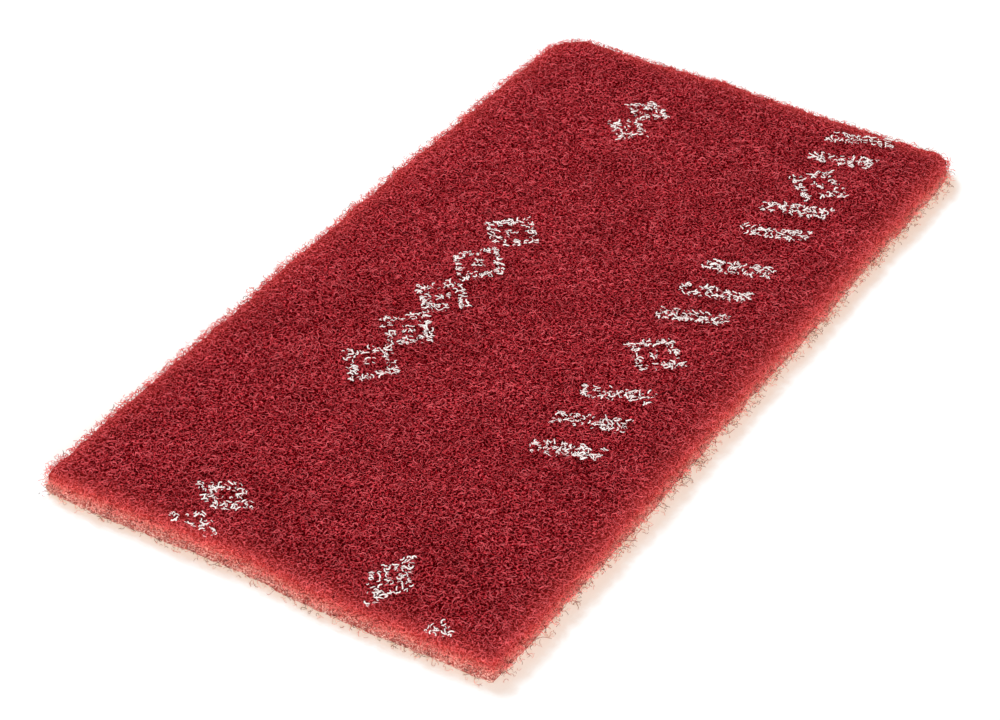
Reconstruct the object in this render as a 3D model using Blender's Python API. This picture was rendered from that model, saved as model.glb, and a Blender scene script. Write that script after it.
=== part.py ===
# A non-woven abrasive hand pad: one open web of fibres, cut to a rectangle, lying flat on its underside.
# X runs across the pad and Y along it. The underside lies on Z = 0, with the pad's middle over the origin.

import math

import bmesh
import bpy
from mathutils import Vector, noise

# Main sizes, in metres
pad_width = 0.115
pad_length = 0.230
pad_thickness = 0.0060

# The cut rim: rounded over at the top, tucked in a little at the foot
rim_radius = 0.0018
foot_radius = 0.0008
rim_steps = 3
foot_steps = 2

# Corner radii, seen from above. The far left corner is worn round.
near_left_corner = 0.0025
near_right_corner = 0.0025
far_right_corner = 0.0045
far_left_corner = 0.0120

# How the cut edges stray from straight
left_edge_bow = 0.0008
near_edge_wave_depth = 0.0005
near_edge_wave_length = 0.066
near_edge_wave_crest = 0.0205
cut_wander_depth = 0.0006
cut_wander_length = 0.045
ragged_depth = 0.0005
ragged_length = 0.009

# How the loft varies over the top
edge_thinning = 0.0007
edge_band = 0.012
swell_height = 0.0007
swell_length = 0.040
tuft_height = 0.0004
tuft_length = 0.010

# Spacing of the points that shape the top and the edge
point_spacing = 0.0035

# Where each uneven thing is read in the noise, in noise cells, so that no two are alike
left_cut_track = 1.5
right_cut_track = 3.5
far_cut_track = 5.5
swell_track = 7.5
tuft_track = 9.5

# Crimson resin coat, dull all over
web_colour = (0.33, 0.030, 0.038, 1.0)
web_roughness = 0.92

half_width = pad_width / 2
half_length = pad_length / 2


def clear_scene():
    for thing in list(bpy.data.objects):
        bpy.data.objects.remove(thing, do_unlink=True)


def web_material():
    material = bpy.data.materials.new("crimson_web")
    material.use_nodes = True
    shader = material.node_tree.nodes["Principled BSDF"]
    shader.inputs["Base Color"].default_value = web_colour
    shader.inputs["Roughness"].default_value = web_roughness
    shader.inputs["Metallic"].default_value = 0.0
    return material


def corner_radius(x, y):
    if y < 0:
        return near_left_corner if x < 0 else near_right_corner
    return far_left_corner if x < 0 else far_right_corner


def round_corner(x, y, inset):
    # Draws a point near a square corner back onto that corner's arc
    radius = max(corner_radius(x, y) - inset, 0.0)
    past_x = abs(x) - (half_width - inset - radius)
    past_y = abs(y) - (half_length - inset - radius)
    if past_x <= 0 or past_y <= 0:
        return x, y
    pull = max(past_x, past_y) / math.hypot(past_x, past_y)
    rounded_x = abs(x) - past_x * (1 - pull)
    rounded_y = abs(y) - past_y * (1 - pull)
    return math.copysign(rounded_x, x), math.copysign(rounded_y, y)


def cut_wander(along, track):
    # The slow wander of the blade along one side
    return cut_wander_depth * noise.noise(Vector((along / cut_wander_length, track, 0)))


def side_shift(x, y):
    # How far the edges push a point sideways, fading to nothing at the middle of the pad
    if x < 0:
        bow = left_edge_bow * math.cos(math.pi * y / pad_length)
        outward = bow + cut_wander(y, left_cut_track)
    else:
        outward = cut_wander(y, right_cut_track)
    return outward * x / half_width


def end_shift(x, y):
    # The same along the pad, for the near and far cuts
    if y < 0:
        turn = 2 * math.pi * (x - near_edge_wave_crest) / near_edge_wave_length
        outward = near_edge_wave_depth * math.cos(turn)
    else:
        outward = cut_wander(x, far_cut_track)
    return outward * y / half_length


def ragged(x, y, z):
    # Small uneven steps of the cut fibres, as a shift along X and Y
    shift = noise.noise_vector(Vector((x, y, z)) / ragged_length)
    return ragged_depth * shift.x, ragged_depth * shift.y


def loft(x, y):
    # Height of the top above the underside: full in the middle, thinner towards the cut edges
    to_edge = min(half_width - abs(x), half_length - abs(y))
    fade = max(0.0, 1 - to_edge / edge_band)
    swell = swell_height * noise.noise(Vector((x / swell_length, y / swell_length, swell_track)))
    tuft = tuft_height * noise.noise(Vector((x / tuft_length, y / tuft_length, tuft_track)))
    return pad_thickness - edge_thinning * fade * fade + swell + tuft


def section():
    # The rim's rings, from the top to the underside. Each is its inset from the outline, how much of the
    # loft's height it takes, and how far below that it lies.
    rings = []
    for step in range(1, rim_steps + 1):
        turn = math.pi / 2 * step / rim_steps
        rings.append((rim_radius * (1 - math.sin(turn)), 1.0, rim_radius * (1 - math.cos(turn))))
    for step in range(foot_steps + 1):
        turn = math.pi / 2 * step / foot_steps
        rings.append((foot_radius * (1 - math.cos(turn)), 0.0, -foot_radius * (1 - math.sin(turn))))
    return rings


def place(flat, inset, share, below):
    # Moves a point of the unit square to its place on the pad
    x = flat.x * (half_width - inset)
    y = flat.y * (half_length - inset)
    x, y = round_corner(x, y, inset)
    z = share * loft(x, y) - below
    on_edge = max(abs(flat.x), abs(flat.y)) > 1 - 1e-6
    ragged_x, ragged_y = ragged(x, y, z) if on_edge else (0.0, 0.0)
    return Vector((x + side_shift(x, y) + ragged_x, y + end_shift(x, y) + ragged_y, z))


def centre(web):
    # Sets the middle of the uneven outline's box over the origin
    for axis in (0, 1):
        reach = [vert.co[axis] for vert in web.verts]
        middle = (min(reach) + max(reach)) / 2
        for vert in web.verts:
            vert.co[axis] -= middle


def pad_mesh():
    # A flat grid for the top, its border drawn out ring by ring into the rim, and one face below
    mesh = bpy.data.meshes.new("abrasive_pad")
    web = bmesh.new()
    across = round(pad_width / point_spacing)
    along = round(pad_length / point_spacing)
    bmesh.ops.create_grid(web, x_segments=across, y_segments=along, size=1.0)
    level = {vert: (rim_radius, 1.0, 0.0) for vert in web.verts}
    border = [edge for edge in web.edges if edge.is_boundary]
    for ring in section():
        drawn = bmesh.ops.extrude_edge_only(web, edges=border)["geom"]
        border = [item for item in drawn if isinstance(item, bmesh.types.BMEdge)]
        level.update((item, ring) for item in drawn if isinstance(item, bmesh.types.BMVert))
    underside = bmesh.ops.contextual_create(web, geom=border)["faces"]
    for vert, ring in level.items():
        vert.co = place(vert.co, *ring)
    centre(web)
    bmesh.ops.triangulate(web, faces=underside, ngon_method="BEAUTY")
    bmesh.ops.recalc_face_normals(web, faces=web.faces)
    web.to_mesh(mesh)
    web.free()
    return mesh


def build_pad():
    mesh = pad_mesh()
    mesh.materials.append(web_material())
    mesh.shade_smooth()
    mesh.set_sharp_from_angle(angle=math.radians(50))
    pad = bpy.data.objects.new("abrasive_pad", mesh)
    bpy.context.scene.collection.objects.link(pad)


clear_scene()
build_pad()
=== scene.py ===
# A crimson hand pad of non-woven abrasive web, lying flat on a white bench
import math
import random

import bpy
import numpy as np
from mathutils import Matrix, Vector
from mathutils.bvhtree import BVHTree


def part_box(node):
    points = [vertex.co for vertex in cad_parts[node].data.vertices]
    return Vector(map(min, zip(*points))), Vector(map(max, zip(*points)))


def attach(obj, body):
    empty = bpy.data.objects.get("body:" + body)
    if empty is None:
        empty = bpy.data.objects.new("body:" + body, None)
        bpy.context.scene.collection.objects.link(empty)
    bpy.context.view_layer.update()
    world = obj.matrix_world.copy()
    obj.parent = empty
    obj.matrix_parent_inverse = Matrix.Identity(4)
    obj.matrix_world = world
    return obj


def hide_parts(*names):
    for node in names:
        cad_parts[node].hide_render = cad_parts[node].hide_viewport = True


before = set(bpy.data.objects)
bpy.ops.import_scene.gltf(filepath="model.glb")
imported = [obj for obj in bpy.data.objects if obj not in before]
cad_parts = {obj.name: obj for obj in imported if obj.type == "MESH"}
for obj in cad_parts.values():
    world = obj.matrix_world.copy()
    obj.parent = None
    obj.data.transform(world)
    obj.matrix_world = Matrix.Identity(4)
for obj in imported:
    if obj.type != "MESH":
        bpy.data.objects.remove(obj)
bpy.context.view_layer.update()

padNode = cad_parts["abrasive_pad"]
padLow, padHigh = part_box("abrasive_pad")
mm = 0.001
upAxis = Vector((0, 0, 1))


# camera: stands where the photograph was taken from

view = {
    "aim": (1.6 * mm, -18.2 * mm, 0.0),   # the point of the bench in the middle of the frame
    "turn": 28.93,     # degrees round from straight in front
    "rise": 36.43,     # degrees above the bench
    "away": 712.9 * mm,
    "roll": 2.96,
    "lens": 109.8,     # on a sensor 36 mm wide
}


def placeCamera():
    turn = math.radians(view["turn"])
    rise = math.radians(view["rise"])
    towards = Vector((math.sin(turn) * math.cos(rise), -math.cos(turn) * math.cos(rise), math.sin(rise)))
    right = upAxis.cross(towards).normalized()
    top = towards.cross(right)
    roll = Matrix.Rotation(math.radians(view["roll"]), 3, towards)
    camera = bpy.data.cameras.new("camera")
    camera.lens = view["lens"]
    camera.sensor_width = 36
    camera.clip_start = 0.01
    holder = bpy.data.objects.new("camera", camera)
    bpy.context.scene.collection.objects.link(holder)
    turned = Matrix((roll @ right, roll @ top, towards)).transposed().to_4x4()
    holder.matrix_world = Matrix.Translation(Vector(view["aim"]) + towards * view["away"]) @ turned
    bpy.context.scene.camera = holder


placeCamera()
print("camera placed")


# the pad's own outline and top, read from the frame

survey = {
    "widestHeight": 0.8 * mm,   # where the solid's outline is full
    "pitch": 1.0 * mm,
    "margin": 5.0 * mm,
    "solidRim": 2.1 * mm,       # how far in from the cut the solid's top is whole
    "rim": 0.8 * mm,            # how far in the fibres start to round over
    "outerSlope": 0.3,          # how steeply they droop beyond the cut
}


def padOutline():
    # the solid's widest ring, as one loop seen from above
    spots = np.array([v.co for v in padNode.data.vertices])
    ring = spots[np.abs(spots[:, 2] - survey["widestHeight"]) < 0.01 * mm]
    ring = np.unique(np.round(ring[:, :2], 6), axis=0)
    return ring[np.argsort(np.arctan2(ring[:, 1], ring[:, 0]))]


def measureEdge(x, y, ring):
    # how far each point is inside the outline, and which way is straight out
    ahead = np.roll(ring, -1, axis=0)
    along = ahead - ring
    offX = x[:, None] - ring[None, :, 0]
    offY = y[:, None] - ring[None, :, 1]
    share = (offX * along[:, 0] + offY * along[:, 1]) / (along ** 2).sum(1)
    share = np.clip(share, 0, 1)
    gapX = offX - share * along[:, 0]
    gapY = offY - share * along[:, 1]
    gap = np.hypot(gapX, gapY)
    near = gap.argmin(1)
    rows = np.arange(len(x))
    spans = (ring[None, :, 1] > y[:, None]) != (ahead[None, :, 1] > y[:, None])
    crossX = ring[:, 0] + along[:, 0] * offY / np.where(along[:, 1] == 0, 1e-12, along[:, 1])
    inside = (spans & (x[:, None] < crossX)).sum(1) % 2 == 1
    sign = np.where(inside, 1.0, -1.0)
    width = np.maximum(gap[rows, near], 1e-9)
    outX = -sign * gapX[rows, near] / width
    outY = -sign * gapY[rows, near] / width
    return sign * gap[rows, near], outX, outY


def surveyPad():
    ring = padOutline()
    mesh = padNode.data
    tree = BVHTree.FromPolygons([v.co for v in mesh.vertices], [p.vertices for p in mesh.polygons])
    pitch = survey["pitch"]
    lowX, lowY = padLow.x - survey["margin"], padLow.y - survey["margin"]
    countX = int((padHigh.x - padLow.x + 2 * survey["margin"]) / pitch) + 2
    countY = int((padHigh.y - padLow.y + 2 * survey["margin"]) / pitch) + 2
    gridX, gridY = np.meshgrid(lowX + pitch * np.arange(countX), lowY + pitch * np.arange(countY))
    x, y = gridX.ravel(), gridY.ravel()
    parts = [measureEdge(x[k:k + 8000], y[k:k + 8000], ring) for k in range(0, len(x), 8000)]
    inset, outX, outY = (np.concatenate(p) for p in zip(*parts))
    pull = np.clip(survey["solidRim"] - inset, 0, None)
    top = np.empty(len(x))
    for k, (px, py) in enumerate(zip(x - outX * pull, y - outY * pull)):
        hit = tree.ray_cast(Vector((px, py, 1)), Vector((0, 0, -1)))[0]
        top[k] = hit.z if hit else padHigh.z * 0.85
    shape = gridX.shape
    return {
        "lowX": lowX, "lowY": lowY, "ring": ring,
        "inset": inset.reshape(shape), "top": top.reshape(shape),
        "outX": outX.reshape(shape), "outY": outY.reshape(shape),
    }


land = surveyPad()


def readLand(field, x, y):
    # bilinear look-up in one of the surveyed fields
    grid = land[field]
    u = np.clip((x - land["lowX"]) / survey["pitch"], 0, grid.shape[1] - 1.001)
    v = np.clip((y - land["lowY"]) / survey["pitch"], 0, grid.shape[0] - 1.001)
    i, j = u.astype(int), v.astype(int)
    fu, fv = u - i, v - j
    low = grid[j, i] * (1 - fu) + grid[j, i + 1] * fu
    high = grid[j + 1, i] * (1 - fu) + grid[j + 1, i + 1] * fu
    return low * (1 - fv) + high * fv


def topAt(x, y):
    # height of the pad's skin, rounding over at the rim and drooping beyond it
    inset = readLand("inset", x, y)
    rim = survey["rim"]
    past = np.clip(rim - inset, 0, rim)
    droop = rim - np.sqrt(rim ** 2 - past ** 2)
    droop = droop + survey["outerSlope"] * np.clip(-inset, 0, None)
    return readLand("top", x, y) - droop


print("pad surveyed")


# materials

web = {
    # painted shade: the near-black between the fibres, deep in the web
    "deepShade": (0.040, 0.0001, 0.0004),
    # darker crimson: painted shade of fibres lying deeper, and darker ones at random
    "low": (0.21, 0.0028, 0.0070),
    # the fibres' own crimson
    "mid": (0.57, 0.040, 0.056),
    # painted highlight: pinkish crimson for the white sheen on the topmost lit fibres
    "high": (0.86, 0.145, 0.175),
    "cut": (                          # painted glow of the cut faces, from the top edge down to the foot: light let through the thin web, palest at the foot
        (0.0, (0.82, 0.125, 0.135)),
        (0.25, (1.0, 0.185, 0.178)),
        (0.5, (1.0, 0.34, 0.29)),
        (0.75, (1.0, 0.52, 0.45)),
        (1.0, (1.0, 0.72, 0.63)),
    ),
    "cutShade": (                     # how the tone of a fibre changes that
        (0.0, (0.28, 0.05, 0.05)),
        (0.4, (0.74, 0.36, 0.34)),
        (0.75, (1.0, 1.0, 1.0)),
    ),
    "coreShade": (                    # and how the pattern of the core does: painted shade, darker where the pattern lies deeper
        (0.0, (0.42, 0.15, 0.14)),
        (0.5, (0.82, 0.55, 0.52)),
        (1.0, (1.0, 1.0, 1.0)),
    ),
    "ink": (1.0, 0.985, 0.975),
    "roughness": 0.6,
    "shine": 0.04,
}


def newMaterial(name):
    material = bpy.data.materials.new(name)
    material.use_nodes = True
    tree = material.node_tree
    shader = tree.nodes["Principled BSDF"]
    return material, tree, shader


def node(tree, kind, **values):
    made = tree.nodes.new(kind)
    for key, value in values.items():
        setattr(made, key, value)
    return made


def wire(tree, *pairs):
    for output, socket in pairs:
        tree.links.new(output, socket)


def ramp(tree, stops, source):
    made = node(tree, "ShaderNodeValToRGB")
    band = made.color_ramp
    while len(band.elements) < len(stops):
        band.elements.new(0.5)
    for element, (place, colour) in zip(band.elements, stops):
        element.position = place
        element.color = (*colour, 1)
    wire(tree, (source, made.inputs["Fac"]))
    return made.outputs["Color"]


def mixColour(tree, share, first, second, blend="MIX"):
    made = node(tree, "ShaderNodeMix", data_type="RGBA", blend_type=blend)
    for value, socket in ((share, made.inputs[0]), (first, made.inputs[6]), (second, made.inputs[7])):
        if isinstance(value, bpy.types.NodeSocket):
            wire(tree, (value, socket))
        elif isinstance(value, tuple):
            socket.default_value = (*value, 1)
        else:
            socket.default_value = value
    return made.outputs[2]


def attribute(tree, name):
    return node(tree, "ShaderNodeAttribute", attribute_name=name).outputs["Fac"]


def objectNoise(tree, scale, detail=2.0, roughness=0.5):
    place = node(tree, "ShaderNodeTexCoord").outputs["Object"]
    made = node(tree, "ShaderNodeTexNoise")
    made.inputs["Scale"].default_value = scale
    made.inputs["Detail"].default_value = detail
    made.inputs["Roughness"].default_value = roughness
    wire(tree, (place, made.inputs["Vector"]))
    return made


def paintedEdgeGlow(tree, body, shade=None):
    # painted glow: colour made lighter where the cut would let light through, most of all low down
    glowColour = ramp(tree, web["cut"], attribute(tree, "low"))
    if shade:
        glowColour = mixColour(tree, 1.0, glowColour, shade, "MULTIPLY")
    return mixColour(tree, attribute(tree, "thin"), body, glowColour)


def paintedShadePatches(tree, body):
    # painted shade: darker patches at random over the pad, slow ones and small ones, for the shading of its uneven
    # top
    for scale, low, high, dark in ((80.0, 0.35, 0.65, (0.84, 0.80, 0.80)), (220.0, 0.30, 0.46, (0.82, 0.74, 0.74))):
        patch = objectNoise(tree, scale, 1.0)
        shade = ramp(tree, ((low, dark), (high, (1.0, 1.0, 1.0))), patch.outputs["Fac"])
        body = mixColour(tree, 1.0, body, shade, "MULTIPLY")
    return body


def strandMaterial():
    # resin-coated fibres, each its own tone, with painted shade on the deeper ones, a painted highlight on the
    # brightest and a painted glow at the cut
    material, tree, shader = newMaterial("crimsonStrand")
    tone = attribute(tree, "tone")
    stops = ((0.0, web["deepShade"]), (0.35, web["low"]), (0.7, web["mid"]), (1.0, web["high"]))
    body = ramp(tree, stops, tone)
    body = paintedShadePatches(tree, body)
    body = paintedEdgeGlow(tree, body, ramp(tree, web["cutShade"], tone))
    body = mixColour(tree, attribute(tree, "ink"), body, web["ink"])
    wire(tree, (body, shader.inputs["Base Color"]))
    shader.inputs["Roughness"].default_value = web["roughness"]
    shader.inputs["Specular IOR Level"].default_value = web["shine"]
    return material


def fibreLines(tree, place, cell, offset, width, kept):
    # curly fibres drawn as the swaying, broken borders of cells: 1 on a fibre, 0 between two
    moved = node(tree, "ShaderNodeVectorMath", operation="ADD")
    moved.inputs[1].default_value = offset
    sway = node(tree, "ShaderNodeTexNoise", noise_dimensions="2D")
    sway.inputs["Scale"].default_value = 1300.0
    sway.inputs["Detail"].default_value = 0.0
    swayed = node(tree, "ShaderNodeVectorMath", operation="MULTIPLY_ADD")
    swayed.inputs[1].default_value = (0.8 * mm, 0.8 * mm, 0)
    cells = node(tree, "ShaderNodeTexVoronoi", feature="DISTANCE_TO_EDGE", voronoi_dimensions="2D")
    cells.inputs["Scale"].default_value = 1 / cell
    line = node(tree, "ShaderNodeMapRange", interpolation_type="SMOOTHSTEP")
    line.inputs["From Min"].default_value = width / cell
    line.inputs["From Max"].default_value = 0.25 * width / cell
    gaps = node(tree, "ShaderNodeTexNoise", noise_dimensions="2D")
    gaps.inputs["Scale"].default_value = 1500.0
    gaps.inputs["Detail"].default_value = 0.0
    whole = node(tree, "ShaderNodeMapRange", interpolation_type="SMOOTHSTEP")
    whole.inputs["From Min"].default_value = 0.46 - 0.16 * (kept - 0.5)
    whole.inputs["From Max"].default_value = 0.54 - 0.16 * (kept - 0.5)
    both = node(tree, "ShaderNodeMath", operation="MULTIPLY")
    wire(
        tree, (place, moved.inputs[0]), (moved.outputs[0], sway.inputs["Vector"]),
        (sway.outputs["Color"], swayed.inputs[0]), (moved.outputs[0], swayed.inputs[2]),
        (swayed.outputs[0], cells.inputs["Vector"]), (cells.outputs["Distance"], line.inputs["Value"]),
        (moved.outputs[0], gaps.inputs["Vector"]), (gaps.outputs["Fac"], whole.inputs["Value"]),
        (line.outputs["Result"], both.inputs[0]), (whole.outputs["Result"], both.inputs[1]))
    return both.outputs[0]


def coreMaterial():
    # the dense web behind the topmost strands: layers of fibres, painted darker the deeper they lie, over a painted
    # dark of shade between them
    material, tree, shader = newMaterial("crimsonWeb")
    place = node(tree, "ShaderNodeAttribute", attribute_name="spread").outputs["Vector"]
    lowLines = fibreLines(tree, place, 1.1 * mm, (0.31, 0.47, 0), 0.15 * mm, 1.2)
    midLines = fibreLines(tree, place, 0.85 * mm, (0.83, 0.17, 0), 0.13 * mm, 0.85)
    highLines = fibreLines(tree, place, 1.15 * mm, (0.57, 0.73, 0), 0.12 * mm, 0.75)
    # painted shade and highlight: the deepest layer and the gaps darkest, the topmost layer lighter and pinker
    body = mixColour(tree, lowLines, web["deepShade"], web["low"])
    body = mixColour(tree, midLines, body, web["mid"])
    body = mixColour(tree, highLines, body, tuple(0.5 * (a + b) for a, b in zip(web["mid"], web["high"])))
    height = None
    for lines, high in ((lowLines, 0.4), (midLines, 0.8), (highLines, 1.0)):
        part = node(tree, "ShaderNodeMath", operation="MULTIPLY")
        part.inputs[1].default_value = high
        wire(tree, (lines, part.inputs[0]))
        if height is None:
            height = part.outputs[0]
            continue
        upper = node(tree, "ShaderNodeMath", operation="MAXIMUM")
        wire(tree, (height, upper.inputs[0]), (part.outputs[0], upper.inputs[1]))
        height = upper.outputs[0]
    body = paintedShadePatches(tree, body)
    body = paintedEdgeGlow(tree, body, ramp(tree, web["coreShade"], height))
    wire(tree, (body, shader.inputs["Base Color"]))
    shader.inputs["Roughness"].default_value = 0.8
    shader.inputs["Specular IOR Level"].default_value = 0.0
    bump = node(tree, "ShaderNodeBump")
    bump.inputs["Strength"].default_value = 0.9
    bump.inputs["Distance"].default_value = 0.18 * mm
    wire(tree, (height, bump.inputs["Height"]), (bump.outputs["Normal"], shader.inputs["Normal"]))
    return material


strandLook = strandMaterial()
coreLook = coreMaterial()
print("materials made")


def setAttribute(mesh, name, values):
    made = mesh.attributes.new(name, "FLOAT", "POINT")
    made.data.foreach_set("value", np.asarray(values, np.float32))


def setSpread(mesh):
    # the places of a pattern, drawn over the top and unrolled down the sides
    x, y, z = np.array([v.co for v in mesh.vertices]).T
    drop = readLand("top", x, y) - z
    places = np.zeros((len(x), 3), np.float32)
    places[:, 0] = x + readLand("outX", x, y) * drop
    places[:, 1] = y + readLand("outY", x, y) * drop
    made = mesh.attributes.new("spread", "FLOAT_VECTOR", "POINT")
    made.data.foreach_set("vector", places.ravel())


def onlySelect(thing):
    if bpy.context.object and bpy.context.object.mode != "OBJECT":
        bpy.ops.object.mode_set(mode="OBJECT")
    bpy.ops.object.select_all(action="DESELECT")
    thing.select_set(True)
    bpy.context.view_layer.objects.active = thing


def thinness(x, y, z, start=0.2 * mm):
    # how much painted glow a point takes, for light let through the thin web, and how low on the cut it is
    inset = readLand("inset", x, y)
    top = readLand("top", x, y)
    low = np.clip(1 - z / top, 0, 1)
    onTop = 0.85 * np.exp(-np.clip(inset - start, 0, None) / (2.3 * mm))
    onSide = np.clip(1 - (inset - start) / (2.0 * mm), 0, 1) * np.clip(2.5 * low, 0, 1)
    return {"thin": np.clip(np.maximum(onTop, onSide), 0, 1), "low": low}


# core: the dense middle of the web, a little smaller than the pad all round

core = {
    "inset": 0.35 * mm,     # from the cut edges
    "below": 0.5 * mm,      # under the skin
    "lift": 0.1 * mm,       # off the bench
    "foot": 0.6 * mm,       # how far the tucked-in foot of the solid is filled out again
    "nearFoot": 1.6 * mm,   # and at the near end
    "nearCorners": 1.3 * mm,   # how far the web stands out past the solid there
    "farEnd": ((-46, -30, 30, 48), (0.0, 0.9, 0.9, 1.9)),   # and at the far end, from left to right, in mm
    "shoulder": 0.55,       # share of the solid's rounding that is filled out
    "cuts": 2,              # each edge of the solid's faces is cut this often
    "tufts": ((1.3 * mm, 0.7 * mm), (4.0 * mm, 0.6 * mm)),   # size and depth
}


def standOut(x, outX, outY):
    # how far the web stands out past the solid, towards each side
    corner = 2 * np.abs(outX * outY) * (outY < 0)
    places, depths = core["farEnd"]
    farEnd = np.interp(x / mm, places, depths) * mm
    return farEnd * np.clip(outY, 0, 1) ** 2 + core["nearCorners"] * corner ** 2


def fillOut(mesh):
    # the web is cut squarer than the solid's rounded rim and tucked-in foot
    spots = np.array([v.co for v in mesh.vertices])
    x, y, z = spots.T
    inset, top = readLand("inset", x, y), readLand("top", x, y)
    outX, outY = readLand("outX", x, y), readLand("outY", x, y)
    low = np.clip(1 - z / (0.25 * padHigh.z), 0, 1)
    high = np.clip((z / top - 0.4) / 0.3, 0, 1)
    edge = np.clip(1 - (inset - core["inset"]) / (3 * mm), 0, 1)
    foot = core["foot"] + (core["nearFoot"] - core["foot"]) * np.clip(-outY, 0, 1)
    shoulder = core["shoulder"] * np.clip(inset - core["inset"], 0, 2 * mm) * high
    push = edge * (low * foot + standOut(x, outX, outY) + shoulder)
    spots[:, 0] += outX * push
    spots[:, 1] += outY * push
    mesh.vertices.foreach_set("co", spots.ravel())


def modelCore():
    onlySelect(padNode)
    bpy.ops.object.duplicate()
    body = bpy.context.object
    body.name = "web_core"
    for key in list(body.keys()):
        del body[key]
    body.parent = None
    bpy.ops.object.mode_set(mode="EDIT")
    bpy.ops.mesh.select_all(action="SELECT")
    bpy.ops.mesh.remove_doubles(threshold=0.001 * mm)
    bpy.ops.object.mode_set(mode="OBJECT")
    for face in body.data.polygons:
        face.select = face.center.z > 0.01 * mm
    bpy.ops.object.mode_set(mode="EDIT")
    bpy.ops.mesh.select_mode(type="FACE")
    bpy.ops.mesh.subdivide(number_cuts=core["cuts"])
    bpy.ops.mesh.select_all(action="SELECT")
    halfX, halfY = padHigh.x, padHigh.y
    shrinkX = (halfX - core["inset"]) / halfX
    shrinkY = (halfY - core["inset"]) / halfY
    shrinkZ = (padHigh.z - core["below"] - core["lift"]) / padHigh.z
    bpy.ops.transform.resize(value=(shrinkX, shrinkY, shrinkZ), center_override=(0, 0, 0))
    bpy.ops.transform.translate(value=(0, 0, core["lift"]))
    bpy.ops.object.mode_set(mode="OBJECT")
    fillOut(body.data)
    for size, depth in core["tufts"]:
        cloud = bpy.data.textures.new("tuft", "CLOUDS")
        cloud.noise_scale = size
        cloud.noise_depth = 1
        tuft = body.modifiers.new("tuft", "DISPLACE")
        tuft.texture = cloud
        tuft.texture_coords = "LOCAL"
        tuft.strength = depth
        tuft.mid_level = 0.55
        bpy.ops.object.modifier_apply(modifier=tuft.name)
    spots = np.array([v.co for v in body.data.vertices])
    spots[:, 2] = np.maximum(spots[:, 2], core["lift"] * 0.5)
    body.data.vertices.foreach_set("co", spots.ravel())
    for name, values in thinness(*spots.T, core["inset"]).items():
        setAttribute(body.data, name, values)
    setSpread(body.data)
    body.data.update()
    body.data.materials.clear()
    body.data.materials.append(coreLook)
    bpy.ops.object.shade_smooth()
    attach(body, "root")
    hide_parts("abrasive_pad")
    return body


webCore = modelCore()
print("core modelled")


# strands: a few curly fibres, each modelled once

strand = {
    "kinds": 24,
    "steps": 6,
    "step": 0.40 * mm,
    "thick": 0.155 * mm,
    "turn": (20, 62),        # degrees of curl at each step
    "swap": 0.3,             # how often the curl changes side
}


def modelStrand(steps, step, thick, chance, turns):
    # a three-sided strand drawn out of one small face, step by step
    bpy.ops.object.select_all(action="DESELECT")
    bpy.ops.mesh.primitive_circle_add(
        vertices=3, radius=thick / 2, fill_type="NGON", rotation=(0, math.pi / 2, 0))
    bpy.ops.object.transform_apply(location=True, rotation=True, scale=True)
    made = bpy.context.object
    bpy.ops.object.mode_set(mode="EDIT")
    bpy.ops.mesh.select_all(action="SELECT")
    heading = 0.0
    tip = Vector((0, 0, 0))
    side = chance.choice((-1, 1))
    curl = math.radians(chance.uniform(*turns))
    for _ in range(steps):
        if chance.random() < strand["swap"]:
            side = -side
            curl = math.radians(chance.uniform(*turns))
        turn = curl * side * chance.uniform(0.6, 1.3)
        bpy.ops.transform.rotate(value=-turn / 2, orient_axis="Z", center_override=tip)
        heading += turn
        ahead = Vector((math.cos(heading), math.sin(heading), 0)) * step
        bpy.ops.mesh.extrude_region_move(TRANSFORM_OT_translate={"value": ahead})
        tip = tip + ahead
        bpy.ops.transform.rotate(value=-turn / 2, orient_axis="Z", center_override=tip)
    bpy.ops.mesh.select_all(action="SELECT")
    bpy.ops.mesh.normals_make_consistent(inside=False)
    bpy.ops.object.mode_set(mode="OBJECT")
    spots = np.array([v.co for v in made.data.vertices])
    spots -= (spots.max(0) + spots.min(0)) / 2
    faces = [tuple(p.vertices) for p in made.data.polygons]
    bpy.data.objects.remove(made, do_unlink=True)
    return spots, faces


def modelKinds(count, steps, step, thick, seed, turns=strand["turn"]):
    chance = random.Random(seed)
    made = [modelStrand(steps, step, thick, chance, turns) for _ in range(count)]
    return {
        "spots": np.array([spots for spots, _ in made]),
        "faces": made[0][1],
        "along": np.repeat(np.linspace(0, 1, steps + 1), 3),
    }


topStrands = modelKinds(strand["kinds"], strand["steps"], strand["step"], strand["thick"], 11)
rimStrands = modelKinds(strand["kinds"], 5, 0.38 * mm, 0.14 * mm, 13)
shortStrands = modelKinds(strand["kinds"], 3, 0.40 * mm, 0.32 * mm, 12, (10, 75))
fineStrands = modelKinds(strand["kinds"], 5, 0.30 * mm, 0.095 * mm, 15, (20, 70))
longStrands = modelKinds(12, 9, 0.55 * mm, 0.10 * mm, 14, (5, 35))
print("strands modelled")


def turnsAbout(axis, angles):
    # one turning matrix for each angle
    c, s, o, e = np.cos(angles), np.sin(angles), np.zeros_like(angles), np.ones_like(angles)
    rows = {
        "X": ((e, o, o), (o, c, -s), (o, s, c)),
        "Y": ((c, o, s), (o, e, o), (-s, o, c)),
        "Z": ((c, -s, o), (s, c, o), (o, o, e)),
    }[axis]
    return np.moveaxis(np.array(rows), -1, 0)


def bentCopies(kinds, count, chance, arch, tilt=0.0, sizes=(0.8, 1.2)):
    # copies of the modelled strands, each bowed upwards, tipped, flipped and turned its own way
    pick = chance.integers(0, len(kinds["spots"]), count)
    copies = kinds["spots"][pick] * chance.uniform(*sizes, count)[:, None, None]
    bow = 4 * kinds["along"] * (1 - kinds["along"])
    copies[:, :, 2] += arch[:, None] * (bow[None, :] - 0.6)
    turned = turnsAbout("X", chance.uniform(-tilt, tilt, count))
    turned = turnsAbout("Z", chance.uniform(0, 2 * math.pi, count)) @ turned
    return np.einsum("nij,nvj->nvi", turned, copies)


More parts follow.
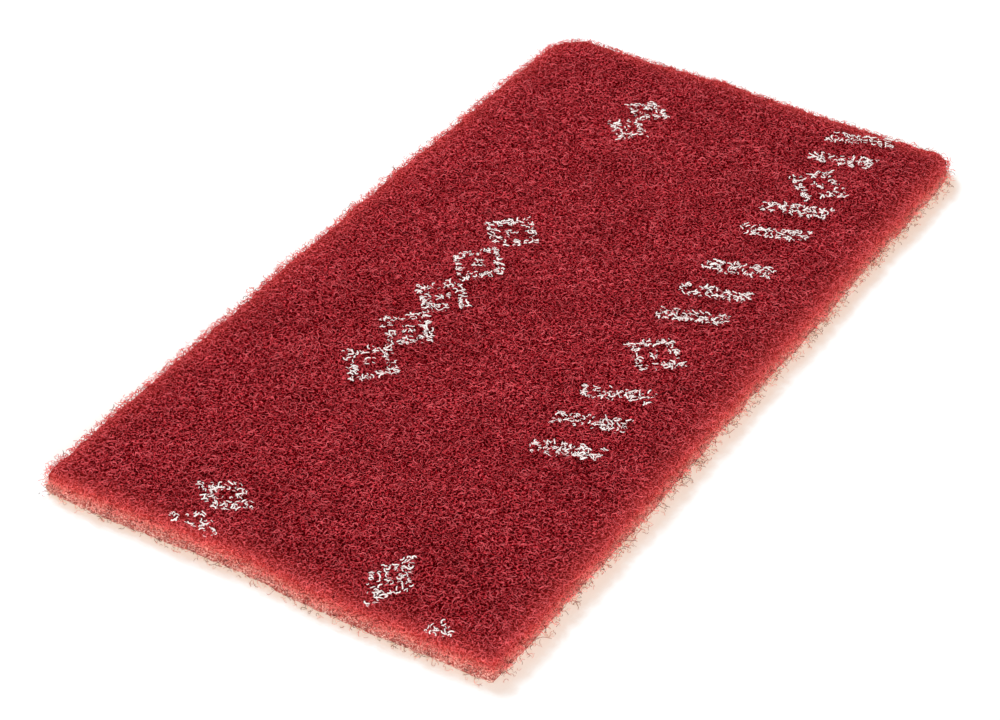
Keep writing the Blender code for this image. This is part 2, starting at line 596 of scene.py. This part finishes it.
def layMesh(name, kinds, spots, look, slot="abrasive_web", **values):
    # one piece out of all its strands
    count, size = spots.shape[:2]
    loops, starts, total = [], [], 0
    for face in kinds["faces"]:
        loops += face
        starts.append(total)
        total += len(face)
    allLoops = (np.array(loops)[None, :] + size * np.arange(count)[:, None]).ravel()
    allStarts = (np.array(starts)[None, :] + total * np.arange(count)[:, None]).ravel()
    mesh = bpy.data.meshes.new(name)
    mesh.vertices.add(count * size)
    mesh.vertices.foreach_set("co", spots.reshape(-1).astype(np.float32))
    mesh.loops.add(len(allLoops))
    mesh.loops.foreach_set("vertex_index", allLoops.astype(np.int32))
    mesh.polygons.add(len(allStarts))
    mesh.polygons.foreach_set("loop_start", allStarts.astype(np.int32))
    mesh.update(calc_edges=True)
    mesh.validate()
    for key, value in values.items():
        setAttribute(mesh, key, np.broadcast_to(value, (count, size)).ravel())
    mesh.shade_smooth()
    mesh.materials.append(look)
    made = bpy.data.objects.new(name, mesh)
    bpy.context.scene.collection.objects.link(made)
    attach(made, "root")
    return made


# print: broken white ink in plain bars and lozenges, caught only by the topmost fibres

ink = {
    "stroke": 2.6 * mm,
    "strokes": 1900,
    "lozenges": (
        # middle across and along the pad, half width, half length
        (-18.5, -43.0, 7.5, 8.0), (-18.5, -27.0, 7.5, 8.0), (-18.5, -11.0, 7.5, 8.0),
        (-18.5, 5.0, 7.5, 8.0), (-18.5, 21.0, 7.5, 8.0),
        (-18.0, 79.0, 5.5, 5.0), (-18.0, 89.5, 5.5, 5.0),
        (-18.5, -101.0, 7.0, 5.0), (-19.5, -113.0, 6.5, 5.0), (26.0, -105.0, 4.5, 8.0), (34.5, -3.5, 8.0, 8.0),
        (43.0, -113.0, 2.0, 3.0),
        (34.5, 83.0, 8.0, 8.0),
    ),
    "bars": (
        (34.5, -46.0), (34.5, -34.0), (34.5, -22.0), (34.5, 15.0), (34.5, 27.0), (34.5, 39.0),
        (34.5, 58.0), (34.5, 70.0), (34.5, 97.0), (34.5, 109.0),
    ),
    "barHalf": (8.0, 2.6),
    "barSlant": 0.35,
}


def inkAt(x, y):
    # 1 on the ink, 0 off it: outlines of lozenges, and slanted bars
    found = np.zeros_like(x)
    half = ink["stroke"] / 2
    for midX, midY, halfX, halfY in ink["lozenges"]:
        reach = np.abs(x - midX * mm) / (halfX * mm) + np.abs(y - midY * mm) / (halfY * mm)
        size = min(halfX, halfY) * mm
        band = np.abs(reach - 0.82) * size * 0.75
        found = np.maximum(found, band < half)
        found = np.maximum(found, 0.6 * (reach < 0.28))
    barX, barY = ink["barHalf"]
    for midX, midY in ink["bars"]:
        offX = x - midX * mm
        offY = y - midY * mm - ink["barSlant"] * offX
        found = np.maximum(found, (np.abs(offX) < barX * mm) & (np.abs(offY) < barY * mm))
    return found


# top web: curly fibres over the whole top, at several depths

topWeb = {
    "strands": 13600,
    "pieces": 3,
    "upper": 0.7,                         # share of the strands that make the skin
    "skin": (-0.32 * mm, 0.02 * mm),      # how deep those lie
    "under": (-0.9 * mm, -0.35 * mm),     # and the others
    "arch": (0.05 * mm, 0.4 * mm),
    "tilt": 0.7,
    "overhang": 0.1 * mm,
    "dark": 0.9 * mm,                    # how far down a strand's painted shade reaches its darkest
}


def randomSpots(count, chance, leastInset):
    # points anywhere on the pad, at least so far in from the cut
    kept = np.empty((0, 2))
    while len(kept) < count:
        x = chance.uniform(padLow.x - 1 * mm, padHigh.x + 1 * mm, count)
        y = chance.uniform(padLow.y - 1 * mm, padHigh.y + 1 * mm, count)
        good = readLand("inset", x, y) > leastInset
        kept = np.vstack((kept, np.stack((x[good], y[good]), 1)))
    return kept[:count]


def pressed(rise, most):
    # keeps loose strands close to the skin, as a rolled pad's are
    return np.where(rise > 0, most * np.tanh(rise / most), rise)


def layTop():
    chance = np.random.default_rng(21)
    count = topWeb["strands"]
    spots = randomSpots(count, chance, topWeb["overhang"])
    spots = spots[np.argsort(spots[:, 1])]
    arch = chance.uniform(*topWeb["arch"], count)
    copies = bentCopies(topStrands, count, chance, arch, topWeb["tilt"])
    upper = chance.random(count) < topWeb["upper"]
    level = np.where(upper, chance.uniform(*topWeb["skin"], count), chance.uniform(*topWeb["under"], count))
    x = copies[:, :, 0] + spots[:, None, 0]
    y = copies[:, :, 1] + spots[:, None, 1]
    top = topAt(x, y)
    rise = pressed(copies[:, :, 2] + level[:, None], 0.3 * mm)
    z = np.maximum(top + rise, 0.12 * mm)
    # painted shade: the deeper a strand lies under the skin, the darker its colour
    depthShade = np.clip(-rise / topWeb["dark"], 0, 1) ** 0.8
    tone = 0.9 - 0.75 * depthShade + chance.normal(0, 0.12, count)[:, None]
    inked = inkAt(x, y) * np.clip((rise + 0.2 * mm) / (0.2 * mm), 0, 1) * (chance.random(count) < 0.3)[:, None]
    glow = thinness(x, y, z)
    parts = np.array_split(np.arange(count), topWeb["pieces"])
    for k, part in enumerate(parts):
        layMesh(
            f"web_top_{k + 1}", topStrands, np.stack((x, y, z), -1)[part], strandLook,
            tone=np.clip(tone, 0, 1)[part], thin=glow["thin"][part], low=glow["low"][part], ink=inked[part])


layTop()
print("top web laid")


# cut edges: fibres that fill the sides, thinning out towards the cut

rimWeb = {
    "strands": 9500,
    "pieces": 3,
    "topEdge": 0.38,                   # share of the strands along the top edge
    "reach": (-2.0 * mm, 1.9 * mm),    # from beyond the cut to well inside it
    "thinning": 0.6,
    "foot": 0.2 * mm,
    "dark": 0.05,                      # share of dark fibres, and what the foot adds to it
    "footDark": 0.16,
    "fringe": 1800,
    "fringeReach": (-0.4 * mm, 2.3 * mm),   # how far past the cut the fine ends at the foot are
    "fringeTop": 2.2 * mm,
    "strays": 150,
}


def aroundEdge(chance, count):
    # points along the cut, and which way is straight out there
    ring = land["ring"]
    ahead = np.roll(ring, -1, axis=0)
    lengths = np.hypot(*(ahead - ring).T)
    pick = np.sort(chance.choice(len(ring), count, p=lengths / lengths.sum()))
    share = chance.random(count)[:, None]
    along = (ahead - ring)[pick] / lengths[pick][:, None]
    at = ring[pick] + (ahead - ring)[pick] * share
    out = np.stack((along[:, 1], -along[:, 0]), 1)
    return at + out * standOut(at[:, 0], out[:, 0], out[:, 1])[:, None], out


def layRim():
    chance = np.random.default_rng(22)
    count = rimWeb["strands"]
    at, out = aroundEdge(chance, count)
    outer, inner = rimWeb["reach"]
    inset = outer + (inner - outer) * chance.random(count) ** rimWeb["thinning"]
    at = at - out * inset[:, None]
    arch = chance.uniform(0.1 * mm, 0.6 * mm, count)
    copies = bentCopies(rimStrands, count, chance, arch, math.pi)
    high = topAt(at[:, 0], at[:, 1]) - 0.2 * mm
    share = np.where(chance.random(count) < rimWeb["topEdge"], 1 - 0.25 * chance.random(count), chance.random(count))
    z0 = rimWeb["foot"] + (high - rimWeb["foot"]) * share
    x = copies[:, :, 0] + at[:, None, 0]
    y = copies[:, :, 1] + at[:, None, 1]
    z = copies[:, :, 2] * 0.8 + z0[:, None]
    top = topAt(x, y)
    z = np.maximum(top + pressed(z - top, 0.4 * mm), 0.12 * mm)
    atFoot = np.clip(1 - share / 0.35, 0, 1) * (inset < 0.5 * mm)
    dark = (chance.random(count) < rimWeb["dark"] + rimWeb["footDark"] * atFoot)[:, None]
    least = np.where(share > 0.6, 0.45, 0.1)
    tone = np.where(dark, 0.05, (least + (1 - least) * chance.random(count))[:, None])
    glow = thinness(x, y, z)
    thin = np.where(dark, 0.25, glow["thin"])
    parts = np.array_split(np.arange(count), rimWeb["pieces"])
    for k, part in enumerate(parts):
        layMesh(
            f"web_cut_edge_{k + 1}", rimStrands, np.stack((x, y, z), -1)[part], strandLook,
            tone=tone[part], thin=thin[part], low=glow["low"][part], ink=0.0)


def layFringe():
    # fine fibre ends round the foot
    chance = np.random.default_rng(25)
    count = rimWeb["fringe"]
    at, out = aroundEdge(chance, count)
    near, far = rimWeb["fringeReach"]
    past = near + (far - near) * chance.random(count) ** 1.5
    at = at + out * past[:, None]
    copies = bentCopies(fineStrands, count, chance, chance.uniform(0.0, 0.5 * mm, count), math.pi)
    x = copies[:, :, 0] + at[:, None, 0]
    y = copies[:, :, 1] + at[:, None, 1]
    slope = np.clip(1 - past / far, 0, 1)
    z = copies[:, :, 2] + (0.25 * mm + rimWeb["fringeTop"] * slope * chance.random(count))[:, None]
    z = np.maximum(z, 0.12 * mm)
    # pale ones take more of the painted glow of light let through the web
    pale = chance.random(count) ** 1.2
    layMesh(
        "web_fringe", fineStrands, np.stack((x, y, z), -1), strandLook,
        tone=(0.9 * pale)[:, None], thin=pale[:, None], low=0.7, ink=0.0)


def layStrays():
    # single long fibres pulled loose along the cut
    chance = np.random.default_rng(24)
    count = rimWeb["strays"]
    at, out = aroundEdge(chance, count)
    at = at + out * chance.uniform(-0.5 * mm, 1.0 * mm, count)[:, None]
    copies = bentCopies(longStrands, count, chance, chance.uniform(0.0, 0.8 * mm, count), 0.5)
    x = copies[:, :, 0] + at[:, None, 0]
    y = copies[:, :, 1] + at[:, None, 1]
    high = topAt(at[:, 0], at[:, 1])
    z = copies[:, :, 2] + (high * chance.uniform(0.08, 0.9, count))[:, None]
    z = np.clip(z, 0.12 * mm, topAt(x, y) + 0.3 * mm)
    layMesh(
        "web_strays", longStrands, np.stack((x, y, z), -1), strandLook,
        tone=chance.uniform(0.0, 0.4, count)[:, None], thin=0.05, low=0.3, ink=0.0)


layRim()
layFringe()
layStrays()
print("cut edges laid")


# ink strokes: the topmost fibres that took the print

def layInk():
    chance = np.random.default_rng(23)
    wanted = ink["strokes"]
    spots = randomSpots(wanted * 30, chance, 0.8 * mm)
    on = inkAt(spots[:, 0], spots[:, 1]) > chance.random(len(spots))
    spots = spots[on][:wanted]
    count = len(spots)
    arch = chance.uniform(0.0, 0.15 * mm, count)
    copies = bentCopies(shortStrands, count, chance, arch, 0.2, (0.4, 1.5))
    x = copies[:, :, 0] + spots[:, None, 0]
    y = copies[:, :, 1] + spots[:, None, 1]
    z = topAt(x, y) + 0.4 * copies[:, :, 2] + chance.uniform(0.2 * mm, 0.35 * mm, count)[:, None]
    layMesh(
        "print_marks", shortStrands, np.stack((x, y, z), -1), strandLook, "print_ink",
        tone=0.5, thin=0.0, low=0.0, ink=chance.uniform(0.75, 1.0, count)[:, None])


layInk()
print("print laid")


# bench and light

bench = {
    "size": 4.0,
    "colour": (0.90, 0.895, 0.885),
    "seenColour": (0.38, 0.67, 0.84),   # the part of the white that shadows take away, as the camera sees it; bluish, so that shadows turn warm
    "seenGlow": (0.62, 0.31, 0.13),     # and the part that they leave; warm: a painted glow for red light from the pad in its shadow
}
lamps = {
    "sky": 0.36,
    "key": {"from": (-0.54, 0.27, 0.62), "size": 0.3, "power": 7.4},
    "fill": {"from": (1.15, -1.40, 0.62), "size": 0.9, "power": 34.0},
}


def layBench():
    bpy.ops.object.select_all(action="DESELECT")
    bpy.ops.mesh.primitive_plane_add(size=bench["size"], location=(0, 0, -0.05 * mm))
    floor = bpy.context.object
    floor.name = "bench"
    material, tree, shader = newMaterial("benchWhite")
    shader.inputs["Base Color"].default_value = (*bench["colour"], 1)
    shader.inputs["Roughness"].default_value = 0.9
    shader.inputs["Specular IOR Level"].default_value = 0.0
    # painted warm glow: for the camera the bench is a bluish shaded part plus a warm glowing part, so its shadows
    # look warm as if lit by red light from the pad
    paint = node(tree, "ShaderNodeBsdfDiffuse")
    paint.inputs["Color"].default_value = (*bench["seenColour"], 1)
    glow = node(tree, "ShaderNodeEmission")
    glow.inputs["Color"].default_value = (*bench["seenGlow"], 1)
    both = node(tree, "ShaderNodeAddShader")
    mix = node(tree, "ShaderNodeMixShader")
    rays = node(tree, "ShaderNodeLightPath")
    output = tree.nodes["Material Output"]
    wire(
        tree, (paint.outputs[0], both.inputs[0]), (glow.outputs[0], both.inputs[1]),
        (rays.outputs["Is Camera Ray"], mix.inputs[0]), (shader.outputs[0], mix.inputs[1]),
        (both.outputs[0], mix.inputs[2]), (mix.outputs[0], output.inputs[0]))
    floor.data.materials.append(material)


def lightBench():
    world = bpy.data.worlds.new("sky")
    bpy.context.scene.world = world
    world.use_nodes = True
    tree = world.node_tree
    back = tree.nodes["Background"]
    seen = node(tree, "ShaderNodeBackground")
    seen.inputs["Color"].default_value = (1, 1, 1, 1)
    seen.inputs["Strength"].default_value = 1.0
    back.inputs["Color"].default_value = (1.0, 0.985, 0.97, 1)
    back.inputs["Strength"].default_value = lamps["sky"]
    rays = node(tree, "ShaderNodeLightPath")
    mix = node(tree, "ShaderNodeMixShader")
    wire(
        tree, (rays.outputs["Is Camera Ray"], mix.inputs[0]), (back.outputs[0], mix.inputs[1]),
        (seen.outputs[0], mix.inputs[2]), (mix.outputs[0], tree.nodes["World Output"].inputs[0]))
    for name in ("key", "fill"):
        setup = lamps[name]
        lamp = bpy.data.lights.new(name, "AREA")
        lamp.shape = "DISK"
        lamp.size = setup["size"]
        lamp.energy = setup["power"]
        lamp.color = (1.0, 0.98, 0.95)
        holder = bpy.data.objects.new(name, lamp)
        bpy.context.scene.collection.objects.link(holder)
        spot = Vector(setup["from"])
        holder.matrix_world = Matrix.Translation(spot) @ spot.to_track_quat("Z", "Y").to_matrix().to_4x4()


layBench()
lightBench()
bpy.context.scene.view_settings.view_transform = "Standard"
print("bench and light set")
shown = [thing for thing in bpy.context.scene.objects if thing.type == "MESH" and thing.name != "bench"]
for thing in shown:
    print(thing.name, sum(len(p.vertices) - 2 for p in thing.data.polygons), "triangles")
